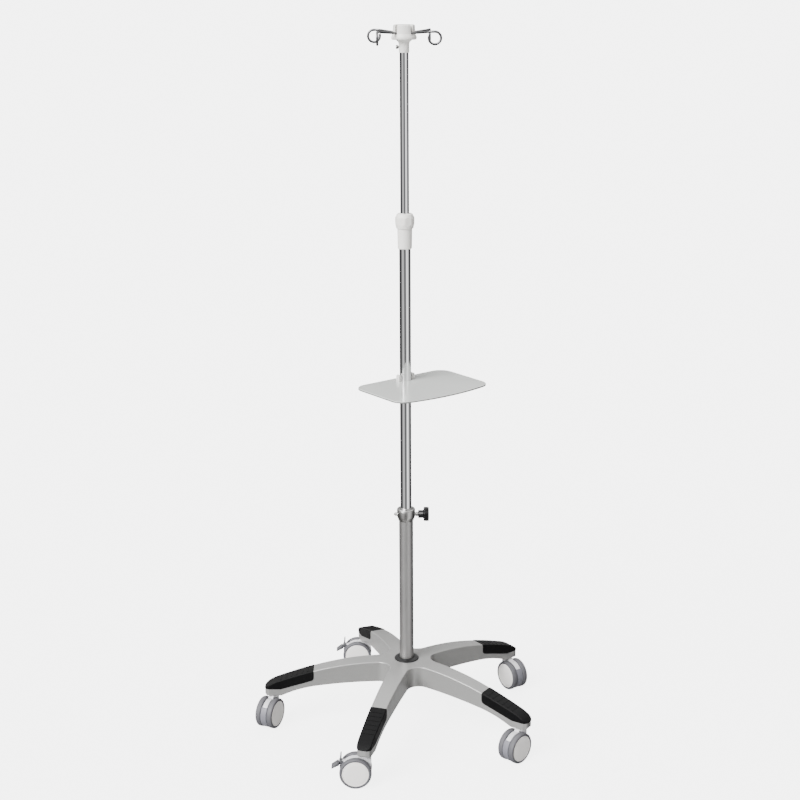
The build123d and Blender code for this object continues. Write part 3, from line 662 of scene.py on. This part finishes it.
# ---------------------------------------------------------------- castors
@dataclass
class TwinWheels:
    """The wheels of the five twin castors, each with a moulded hub, a pale cap and a soft tread."""

    inner_face: float = 7.6 * MM       # from the castor's middle plane
    outer_face: float = 21.0 * MM
    edge_round: float = 0.35 * MM
    rim_radius: float = 29.2 * MM
    tread_radius: float = 35.0 * MM
    groove_radius: float = 26.2 * MM
    cap_thickness: float = 2.4 * MM
    bore_radius: float = 3.05 * MM
    bore_depth: float = 10.7 * MM
    boss_radius: float = 8.0 * MM
    dish_depth: float = 4.5 * MM
    dish_reach: float = 24.0 * MM
    tread_crown: float = 0.25 * MM
    tread_shoulder: float = 3.4 * MM
    shoulder_steps: int = 5
    segments: int = 96

    def hub_pattern(self) -> bpy.types.Object:
        """Models one hub about Z, with its dished back, its blind bore and a seat for the cap.

        Returns:
            The pattern, its inner face towards -Z and the castor's middle plane at the origin.
        """
        inner, outer = self.inner_face, self.outer_face - self.cap_thickness
        outline = [
            (self.bore_radius, inner + self.bore_depth),
            (self.bore_radius, inner),
            (self.boss_radius, inner),
            (self.boss_radius + 1.5 * MM, inner + self.dish_depth),
            (self.dish_reach, inner + self.dish_depth),
            (self.dish_reach + 2.0 * MM, inner),
            (self.rim_radius, inner),
            (self.rim_radius, outer),
            (CENTRE_HOLE, outer),
        ]
        hub = turned("hub_pattern", outline, self.segments)
        round_edges(hub, self.edge_round, 2, 40)
        shade(hub)
        return hub

    def cap_pattern(self) -> bpy.types.Object:
        """Models one pale cap about Z: a slightly crowned disc with a groove inside its rim.

        Returns:
            The pattern, placed as the hub's pattern is.
        """
        outer = self.outer_face
        outline = [
            (self.rim_radius - 0.15 * MM, outer - self.cap_thickness),
            (self.rim_radius - 0.15 * MM, outer - 1.2 * MM),
            (self.rim_radius - 0.9 * MM, outer - 0.25 * MM),
            (self.groove_radius + 0.9 * MM, outer - 0.2 * MM),
            (self.groove_radius + 0.5 * MM, outer - 0.8 * MM),
            (self.groove_radius, outer - 0.8 * MM),
            (self.groove_radius - 0.6 * MM, outer - 0.3 * MM),
            (18.0 * MM, outer - 0.12 * MM),
            (9.0 * MM, outer - 0.03 * MM),
            (CENTRE_HOLE, outer),
        ]
        cap = turned("cap_pattern", outline, self.segments)
        round_edges(cap, 0.2 * MM, 2, 25)
        shade(cap, 30)
        return cap

    def tread_pattern(self) -> bpy.types.Object:
        """Models one soft tread about Z, with a crowned face and rounded shoulders.

        Returns:
            The pattern, placed as the hub's pattern is.
        """
        low, high = self.inner_face - 0.1 * MM, self.outer_face
        shoulder, steps = self.tread_shoulder, self.shoulder_steps
        outline = [(self.rim_radius, low), (self.rim_radius + 1.6 * MM, low)]
        for quarter, base, turn in ((0, low + shoulder, -1), (1, high - shoulder, 1)):
            for step in range(steps + 1):
                angle = math.radians(90 * (step if quarter else steps - step) / steps)
                outline.append((
                    self.tread_radius - self.tread_crown - shoulder * (1 - math.cos(angle)),
                    base + turn * shoulder * math.sin(angle),
                ))
            if quarter == 0:
                outline.append((self.tread_radius, (low + high) / 2))
        outline += [
            (self.rim_radius + 1.6 * MM, high),
            (self.rim_radius + 0.7 * MM, high - 0.5 * MM),
            (self.rim_radius, high - 0.5 * MM),
        ]
        tread = turned("tread_pattern", outline, self.segments, bored=True)
        shade(tread, 40)
        return tread

    def build(self) -> None:
        """Copies the patterns to all ten wheels and removes the patterns."""
        hub, cap, tread = self.hub_pattern(), self.cap_pattern(), self.tread_pattern()
        for number in CASTOR_NUMBERS:
            axle = centre_of(f"caster_{number}_axle")
            for side in Side:
                wheel_node, tyre_node = (f"caster_{number}_{part}_{side.value}" for part in ("wheel", "tyre"))
                place = pointing((centre_of(wheel_node) - axle).normalized(), axle)
                dress(copied(tread, f"castor_{number}_tread_{side.value}", place), "caster_tread", tyre_node)
                grey = copied(hub, f"castor_{number}_hub_{side.value}", place)
                finish(dress(grey, "caster_disc", wheel_node), CASTER_HOOD)
                pale = finish(copied(cap, f"castor_{number}_cap_{side.value}", place), CASTER_DISC)
                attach(pale, body_of(wheel_node))
                LOG.info("%s covers its hub", pale.name)
        for pattern in (hub, cap, tread):
            bpy.data.objects.remove(pattern)


@dataclass
class WheelHoods:
    """The grey hood between the two wheels of each castor, round the lower part of its fork."""

    radius: float = 34.0 * MM
    half_width: float = 7.2 * MM
    rim_round: float = 0.8 * MM
    top: float = 57.0 * MM             # height where the hood meets the light fork
    bottom: float = 7.0 * MM
    segments: int = 96

    def pattern(self, axle_height: float) -> bpy.types.Object:
        """Models one hood about its axle: a rounded disc, cut level at its top and its bottom.

        Args:
            axle_height: the axle's height above the floor.

        Returns:
            The pattern, its axle along Z and its upward side towards +Y.
        """
        clear_selection()
        bpy.ops.mesh.primitive_cylinder_add(
            vertices=self.segments, radius=self.radius, depth=2 * self.half_width, end_fill_type="NGON"
        )
        hood = bpy.context.object
        hood.name = hood.data.name = "hood_pattern"
        round_edges(hood, self.rim_round, 4, 60)
        make_active(hood)
        bpy.ops.object.mode_set(mode="EDIT")
        for height, upward in ((self.top, 1), (self.bottom, -1)):
            cut, outward = (0, height - axle_height, 0), (0, upward, 0)
            bpy.ops.mesh.select_all(action="SELECT")
            bpy.ops.mesh.bisect(plane_co=cut, plane_no=outward, use_fill=True, clear_outer=True)
        bpy.ops.object.mode_set(mode="OBJECT")
        round_edges(hood, 0.5 * MM, 2, 50)
        shade(hood, 40)
        return hood

    def build(self) -> None:
        """Copies the hood to every castor and removes the pattern."""
        pattern = self.pattern(centre_of("caster_1_axle").z)
        for number in CASTOR_NUMBERS:
            axle = centre_of(f"caster_{number}_axle")
            side = (centre_of(f"caster_{number}_wheel_left") - axle).normalized()
            axes = Matrix((UP.cross(side), UP, side)).transposed()
            hood = copied(pattern, f"castor_{number}_hood", Matrix.Translation(axle) @ axes.to_4x4())
            finish(hood, CASTER_HOOD)
            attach(hood, body_of(f"caster_{number}_housing"))
            LOG.info("%s rides on its castor", hood.name)
        bpy.data.objects.remove(pattern)


@dataclass
class BrakePedals:
    """The foot levers of the two braked castors: a wedge to step on, two ears and an upright tab."""

    castors: tuple[int, ...] = (1, 4)  # the castors that have a brake
    pivot_reach: float = 32.0 * MM     # from the axle to the lever's pin, level
    pivot_rise: float = 21.0 * MM
    slope: float = math.radians(31.0)
    ear_radius: float = 4.8 * MM
    ear_gap: float = 6.6 * MM          # between the ears, round the fork's lug
    width: float = 12.0 * MM
    foot_start: float = 5.2 * MM       # from the pin, down the slope
    foot_length: float = 17.6 * MM
    foot_width: float = 24.0 * MM
    foot_thickness: float = 8.0 * MM
    arm_thickness: float = 5.0 * MM
    tab_start: float = 4.6 * MM
    tab_height: float = 17.0 * MM
    tab_thickness: float = 4.2 * MM
    tab_width: float = 10.0 * MM
    tab_lean: float = 1.2 * MM
    edge_round: float = 0.9 * MM
    tip_taper: Place = (1.0, 0.34, 0.86)
    root_taper: Place = (1.0, 1.0, 0.62)
    tab_taper: Place = (0.6, 1.0, 0.8)

    def block(self, name: str, size: Vector, middle: Vector) -> bpy.types.Object:
        """Makes a block for the lever.

        Args:
            name: the block's name.
            size: its length, height and width.
            middle: the place of its middle from the pin.

        Returns:
            The block, with its mesh in place.
        """
        clear_selection()
        bpy.ops.mesh.primitive_cube_add(size=1.0)
        block = bpy.context.object
        block.name = block.data.name = name
        return put(block, Matrix.Translation(middle) @ Matrix.Diagonal((*size, 1)))

    def foot(self) -> bpy.types.Object:
        """Models the wedge: broad and thin at its tip, narrower and thick beside the pin.

        Returns:
            The wedge, sloping down from the pin.
        """
        middle = self.foot_start + self.foot_length / 2
        size = Vector((self.foot_length, self.foot_thickness, self.foot_width))
        foot = self.block("foot", size, Vector((middle, 0, 0)))
        select_points(foot, lambda place: place.x > middle)
        bpy.ops.transform.resize(value=self.tip_taper, center_override=(middle, 0, 0))
        bpy.ops.object.mode_set(mode="OBJECT")
        select_points(foot, lambda place: place.x < middle)
        bpy.ops.transform.resize(value=self.root_taper, center_override=(middle, 0, 0))
        bpy.ops.object.mode_set(mode="OBJECT")
        return put(foot, Matrix.Rotation(-self.slope, 4, "Z"))

    def tab(self) -> bpy.types.Object:
        """Models the upright tab, thinner at its top and leaning back over the wheels.

        Returns:
            The tab, above the pin.
        """
        middle = self.tab_start + self.tab_height / 2
        size = Vector((self.tab_thickness, self.tab_height, self.tab_width))
        tab = self.block("tab", size, Vector((0, middle, 0)))
        select_points(tab, lambda place: place.y > middle)
        bpy.ops.transform.resize(value=self.tab_taper, center_override=(0, middle, 0))
        bpy.ops.transform.translate(value=(-self.tab_lean, 0, 0))
        bpy.ops.object.mode_set(mode="OBJECT")
        return tab

    def pattern(self) -> bpy.types.Object:
        """Joins the foot, the tab, the two ears and the arm between them into one lever.

        Returns:
            The pattern, its pin along Z at the origin, reaching towards +X with +Y upward.
        """
        pieces = [self.foot(), self.tab()]
        thickness = (self.width - self.ear_gap) / 2
        for side in (-1, 1):
            place = (0, 0, side * (self.width - thickness) / 2)
            clear_selection()
            bpy.ops.mesh.primitive_cylinder_add(vertices=48, radius=self.ear_radius, depth=thickness)
            pieces.append(put(bpy.context.object, Matrix.Translation(place)))
            size = Vector((2 * self.foot_start, self.arm_thickness, thickness))
            link = self.block("link", size, Vector((self.foot_start, 0, place[2])))
            pieces.append(put(link, Matrix.Rotation(-self.slope, 4, "Z")))
        clear_selection()
        for piece in pieces:
            piece.select_set(True)
        bpy.context.view_layer.objects.active = pieces[0]
        bpy.ops.object.join()
        lever = bpy.context.object
        lever.name = lever.data.name = "lever_pattern"
        round_edges(lever, self.edge_round, 3, 40)
        shade(lever, 40)
        return lever

    def build(self) -> None:
        """Copies the lever to the braked castors and removes the pattern."""
        pattern = self.pattern()
        for number in self.castors:
            node = f"caster_{number}_brake_pedal"
            axle = centre_of(f"caster_{number}_axle")
            reach = centre_of(node) - axle
            reach.z = 0.0
            reach.normalize()
            pin = axle + reach * self.pivot_reach + UP * self.pivot_rise
            axes = Matrix((reach, UP, reach.cross(UP))).transposed()
            lever = copied(pattern, f"castor_{number}_lever", Matrix.Translation(pin) @ axes.to_4x4())
            dress(lever, "caster_pedal", node)
        bpy.data.objects.remove(pattern)


# ---------------------------------------------------------------- mast
@dataclass
class Mast:
    """The three telescopic tubes, the foot ring and the clamp collar with its knob."""

    wall: float = 1.5 * MM
    upper_wall: float = 1.2 * MM
    lip: float = 0.5 * MM
    ring_bore: float = 16.1 * MM
    collar_radius: float = 20.5 * MM
    collar_seat: float = 16.0 * MM     # radius that holds the lower tube
    collar_bore: float = 12.8 * MM     # radius round the middle tube
    knob_neck: float = 9.0 * MM
    knob_head_start: float = 12.3 * MM
    flutes: int = 8
    flute_factors: tuple[float, ...] = (0.895, 0.902, 0.922, 0.952, 0.982)   # from its middle outwards
    segments: int = 128

    def tube(self, node: str, name: str, wall: float, slot: str) -> None:
        """Models a tube with eased ends in place of a CAD tube.

        Args:
            node: the CAD tube.
            name: the new piece's name.
            wall: the tube's wall.
            slot: its material slot.
        """
        low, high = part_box(node)
        radius = (high.x - low.x) / 2
        outline = [
            (radius - wall, low.z),
            (radius - self.lip, low.z),
            (radius, low.z + self.lip),
            (radius, high.z - self.lip),
            (radius - self.lip, high.z),
            (radius - wall, high.z),
        ]
        piece = turned(name, outline, self.segments, bored=True)
        shade(piece)
        dress(piece, slot, node)

    def foot_ring(self) -> None:
        """Models the glossy ring that covers the joint between the mast and the base."""
        low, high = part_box("mast_bush")
        outer = (high.x - low.x) / 2
        bore, rise = self.ring_bore, high.z - low.z
        outline = [
            (bore, low.z),
            (outer, low.z),
            (outer, low.z + 0.32 * rise),
            (outer - 2.5 * MM, low.z + 0.55 * rise),
            (outer - 7.0 * MM, high.z - 0.4 * MM),
            (outer - 9.0 * MM, high.z),
            (bore + 0.8 * MM, high.z),
            (bore, high.z - 0.8 * MM),
        ]
        ring = turned("foot_ring", outline, self.segments, bored=True)
        round_edges(ring, 0.6 * MM, 3, 20)
        shade(ring, 50)
        dress(ring, "black_trim", "mast_bush")

    def collar(self) -> None:
        """Models the turned clamp collar, with its chamfers and a fine tool groove."""
        low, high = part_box("clamp_collar")
        outer, seat, bore = self.collar_radius, self.collar_seat, self.collar_bore
        step = high.z - 5.5 * MM
        outline = [
            (seat, low.z),
            (seat + 0.8 * MM, low.z),
            (outer - 0.7 * MM, low.z + 8.5 * MM),
            (outer, low.z + 10.5 * MM),
            (outer, high.z - 4.2 * MM),
            (outer - 0.35 * MM, high.z - 4.0 * MM),
            (outer - 0.35 * MM, high.z - 3.6 * MM),
            (outer, high.z - 3.4 * MM),
            (outer, high.z - 2.0 * MM),
            (outer - 2.0 * MM, high.z),
            (bore + 1.5 * MM, high.z),
            (bore, high.z - 1.5 * MM),
            (bore, step),
            (seat, step),
        ]
        collar = turned("turned_collar", outline, self.segments, bored=True)
        round_edges(collar, 0.3 * MM, 2, 25)
        shade(collar, 40)
        dress(collar, "collar_metal", "clamp_collar")

    def flute_test(self, radius: float, offset: int) -> PointTest:
        """Makes a test for the knob head's outer points at one place across its flutes.

        Args:
            radius: the head's radius.
            offset: how many columns of points lie between a flute's middle and the wanted ones.

        Returns:
            The test of a point's place.
        """
        pitch = 2 * math.pi / self.flutes
        column = 2 * math.pi / self.segments
        lowest, innermost = self.knob_head_start + 0.3 * MM, radius - 3.0 * MM

        def in_flute(place: Vector) -> bool:
            """True for a point of the head's outside in the wanted column."""
            if place.z < lowest or math.hypot(place.x, place.y) < innermost:
                return False
            turn = math.atan2(place.y, place.x) % pitch
            return abs(min(turn, pitch - turn) - offset * column) < 0.3 * column

        return in_flute

    def knob(self) -> None:
        """Models the fluted clamp knob on its side, with a dished end."""
        low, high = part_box("clamp_knob")
        radius = (high.z - low.z) / 2
        length = high.x - low.x
        neck, head_start = self.knob_neck, self.knob_head_start
        outline = [
            (4.3 * MM, 0.0),
            (neck - 1.0 * MM, 0.0),
            (neck, 1.0 * MM),
            (neck, head_start - 1.6 * MM),
            (neck + 1.2 * MM, head_start - 0.2 * MM),
            (radius - 1.6 * MM, head_start),
            (radius - 0.4 * MM, head_start + 0.5 * MM),
            (radius, head_start + 1.7 * MM),
            (radius, length - 2.4 * MM),
            (radius - 0.6 * MM, length - 0.9 * MM),
            (radius - 2.2 * MM, length - 0.1 * MM),
            (radius - 4.4 * MM, length),
            (radius - 6.2 * MM, length - 0.2 * MM),
            (radius - 7.4 * MM, length - 1.0 * MM),
            (CENTRE_HOLE, length - 0.9 * MM),
        ]
        knob = turned("fluted_knob", outline, self.segments)
        for offset, factor in enumerate(self.flute_factors):
            select_points(knob, self.flute_test(radius, offset))
            bpy.ops.transform.resize(value=(factor, factor, 1), center_override=(0, 0, 0))
            bpy.ops.object.mode_set(mode="OBJECT")
        shade(knob, 60)
        put(knob, pointing(Vector((1, 0, 0)), Vector((low.x, 0, (low.z + high.z) / 2))))
        dress(knob, "black_trim", "clamp_knob")

    def build(self) -> None:
        """Builds every piece of the mast."""
        self.tube("lower_mast", "lower_tube", self.wall, "satin_steel")
        self.tube("middle_tube", "chrome_middle_tube", self.wall, "polished_steel")
        self.tube("upper_tube", "chrome_upper_tube", self.upper_wall, "polished_steel")
        self.foot_ring()
        self.collar()
        self.knob()


# ---------------------------------------------------------------- tray
@dataclass
class Tray:
    """The pressed tray, enamelled on top, with painted shade on its rim and underneath."""

    # faces lower than this below the tray's top get the painted shade
    painted_shade_depth: float = 1.7 * MM
    rim_tilt: float = 0.3              # a face whose normal rises less than this belongs to the rim, which gets the painted shade

    def build(self) -> None:
        """Merges a copy of the tray's mesh and paints shade on its rim and its lower faces with a dark grey
        finish.
        """
        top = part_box("tray_plate")[1].z
        tray = merged_copy("tray_plate", "pressed_tray")
        shade(tray, 25)
        dress(tray, "tray_enamel", "tray_plate")
        finish(tray, TRAY_ENAMEL, TRAY_PAINTED_SHADE)
        # Painted shade: the rim and the lower faces take the dark grey slot.
        for face in tray.data.polygons:
            if face.center.z < top - self.painted_shade_depth or abs(face.normal.z) < self.rim_tilt:
                face.material_index = 1


# ---------------------------------------------------------------- studio
@dataclass(frozen=True)
class Lamp:
    """A wide soft sun lamp."""

    name: str
    azimuth: float                     # degrees from the camera's side, clockwise from above
    elevation: float                   # degrees above the horizon
    strength: float
    spread: float                      # angular width in degrees
    glints: bool                       # whether glossy surfaces show it

    def build(self) -> None:
        """Adds the lamp to the scene."""
        data = bpy.data.lights.new(self.name, "SUN")
        data.energy = self.strength
        data.angle = math.radians(self.spread)
        lamp = bpy.data.objects.new(self.name, data)
        bpy.context.scene.collection.objects.link(lamp)
        turn, rise = math.radians(self.azimuth), math.radians(self.elevation)
        level = math.cos(rise)
        towards = Vector((math.sin(turn) * level, -math.cos(turn) * level, math.sin(rise)))
        lamp.rotation_mode = "QUATERNION"
        lamp.rotation_quaternion = towards.to_track_quat("Z", "Y")
        lamp.visible_glossy = self.glints


# What bright metal mirrors: (degrees round from the front, brightness), as upright soft boxes and dark gaps.
MIRRORED_BANDS = (
    (-180, 0.05), (-168, 0.35), (-150, 0.40), (-132, 0.02), (-86, 0.035), (-62, 0.18), (-42, 0.46),
    (-22, 0.22), (-6, 0.05), (4, 0.05), (18, 0.24), (38, 1.05), (60, 0.48), (84, 0.07), (110, 0.015),
    (132, 0.02), (150, 0.45), (168, 0.40), (180, 0.05),
)
LAMPS = (
    Lamp("key_lamp", -46.0, 36.0, 8.6, 40.0, glints=True),
    Lamp("back_lamp", 160.0, 42.0, 1.892, 60.0, glints=False),
)
WHITE = (1.0, 1.0, 1.0, 1.0)


@dataclass
class Studio:
    """The floor, the lights and the camera."""

    floor_radius: float = 260.0
    floor_colour: Colour = (0.42, 0.42, 0.42)
    camera_place: Place = (0.0, -3.248, 1.695)
    camera_yaw: float = 0.216
    camera_pitch: float = -15.79
    camera_roll: float = -0.31
    camera_lens: float = 69.03
    fill_strength: float = 0.55
    mirror_strength: float = 2.3
    floor_glow: float = 4.6

    def floor(self) -> None:
        """Lays a wide pale floor."""
        clear_selection()
        bpy.ops.mesh.primitive_circle_add(vertices=96, radius=self.floor_radius, fill_type="NGON")
        floor = bpy.context.object
        floor.name = "studio_floor"
        material = bpy.data.materials.new("studio_floor")
        material.use_nodes = True
        shader = material.node_tree.nodes["Principled BSDF"]
        shader.inputs["Base Color"].default_value = (*self.floor_colour, 1.0)
        shader.inputs["Roughness"].default_value = 0.9
        shader.inputs["Specular IOR Level"].default_value = 0.1
        shader.inputs["Emission Color"].default_value = WHITE
        seen = material.node_tree.nodes.new("ShaderNodeLightPath")
        glow = material.node_tree.nodes.new("ShaderNodeMath")
        glow.operation = "MULTIPLY"
        glow.inputs[1].default_value = self.floor_glow
        material.node_tree.links.new(seen.outputs["Is Camera Ray"], glow.inputs[0])
        material.node_tree.links.new(glow.outputs[0], shader.inputs["Emission Strength"])
        floor.data.materials.append(material)
        floor.visible_glossy = False

    def surroundings(self) -> None:
        """Builds the pale surroundings, with upright soft boxes and dark gaps that bright metal mirrors."""
        world = bpy.data.worlds.new("studio")
        bpy.context.scene.world = world
        world.use_nodes = True
        nodes, links = world.node_tree.nodes, world.node_tree.links
        output = nodes["World Output"]
        soft = nodes["Background"]
        soft.inputs["Color"].default_value = WHITE
        soft.inputs["Strength"].default_value = self.fill_strength
        seen = nodes.new("ShaderNodeBackground")
        seen.inputs["Color"].default_value = WHITE
        seen.inputs["Strength"].default_value = self.floor_glow + 1.0
        boxes = nodes.new("ShaderNodeBackground")

        place = nodes.new("ShaderNodeTexCoord")
        parts = nodes.new("ShaderNodeSeparateXYZ")
        links.new(place.outputs["Generated"], parts.inputs[0])
        front = nodes.new("ShaderNodeMath")
        front.operation = "MULTIPLY"
        front.inputs[1].default_value = -1.0
        links.new(parts.outputs["Y"], front.inputs[0])
        turn = nodes.new("ShaderNodeMath")
        turn.operation = "ARCTAN2"
        links.new(parts.outputs["X"], turn.inputs[0])
        links.new(front.outputs[0], turn.inputs[1])
        around = nodes.new("ShaderNodeMapRange")
        around.inputs["From Min"].default_value = -math.pi
        around.inputs["From Max"].default_value = math.pi
        links.new(turn.outputs[0], around.inputs["Value"])
        bands = nodes.new("ShaderNodeValToRGB")
        ramp = bands.color_ramp
        ramp.interpolation = "LINEAR"
        while len(ramp.elements) > 1:
            ramp.elements.remove(ramp.elements[-1])
        for index, (degrees, level) in enumerate(MIRRORED_BANDS):
            position = (degrees + 180) / 360
            element = ramp.elements.new(position) if index else ramp.elements[0]
            element.position = position
            element.color = (level, level, level, 1.0)
        links.new(around.outputs["Result"], bands.inputs["Fac"])
        height = nodes.new("ShaderNodeMapRange")
        height.interpolation_type = "SMOOTHSTEP"
        height.inputs["From Min"].default_value = 0.45
        height.inputs["From Max"].default_value = 0.75
        links.new(parts.outputs["Z"], height.inputs["Value"])
        overhead = nodes.new("ShaderNodeMix")
        overhead.data_type = "RGBA"
        overhead.inputs["B"].default_value = WHITE
        links.new(height.outputs["Result"], overhead.inputs["Factor"])
        links.new(bands.outputs["Color"], overhead.inputs["A"])
        links.new(overhead.outputs["Result"], boxes.inputs["Color"])
        boxes.inputs["Strength"].default_value = self.mirror_strength

        path = nodes.new("ShaderNodeLightPath")
        mirrored = nodes.new("ShaderNodeMixShader")
        links.new(path.outputs["Is Glossy Ray"], mirrored.inputs["Fac"])
        links.new(soft.outputs[0], mirrored.inputs[1])
        links.new(boxes.outputs[0], mirrored.inputs[2])
        shown = nodes.new("ShaderNodeMixShader")
        links.new(path.outputs["Is Camera Ray"], shown.inputs["Fac"])
        links.new(mirrored.outputs[0], shown.inputs[1])
        links.new(seen.outputs[0], shown.inputs[2])
        links.new(shown.outputs[0], output.inputs["Surface"])

    def camera(self) -> None:
        """Sets up the camera in front of the stand, a little above its tray."""
        data = bpy.data.cameras.new("camera")
        data.lens = self.camera_lens
        data.sensor_width = 36.0
        data.clip_end = 500.0
        camera = bpy.data.objects.new("camera", data)
        bpy.context.scene.collection.objects.link(camera)
        turn = Matrix.Rotation(math.radians(self.camera_yaw), 3, "Z")
        pitch, roll = math.radians(self.camera_pitch), math.radians(self.camera_roll)
        forward = turn @ Vector((0, math.cos(pitch), math.sin(pitch)))
        level = turn @ Vector((1, 0, 0))
        right = level * math.cos(roll) + level.cross(forward) * math.sin(roll)
        axes = Matrix((right, right.cross(forward), -forward)).transposed()
        camera.matrix_world = Matrix.Translation(self.camera_place) @ axes.to_4x4()
        bpy.context.scene.camera = camera

    def build(self) -> None:
        """Sets up the whole studio."""
        self.floor()
        for lamp in LAMPS:
            lamp.build()
        self.surroundings()
        self.camera()


def dress_frame() -> None:
    """Gives every CAD node the finish of its material slot."""
    for name, node in frame["nodes"].items():
        for slot in node.material_slots:
            slot_name = slot.material.name.split(".")[0]
            slot.material = FINISH_OF_SLOT[slot_name].material()
        LOG.info("%s has its finish", name)


def main() -> None:
    """Builds the stand's looks around the frame, one sub-assembly after another."""
    logging.basicConfig(level=logging.INFO, format="%(message)s")
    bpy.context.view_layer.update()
    Studio().build()
    dress_frame()
    Mast().build()
    TwinWheels().build()
    WheelHoods().build()
    BrakePedals().build()
    Tray().build()
    bpy.context.view_layer.update()


if __name__ == "__main__":
    main()
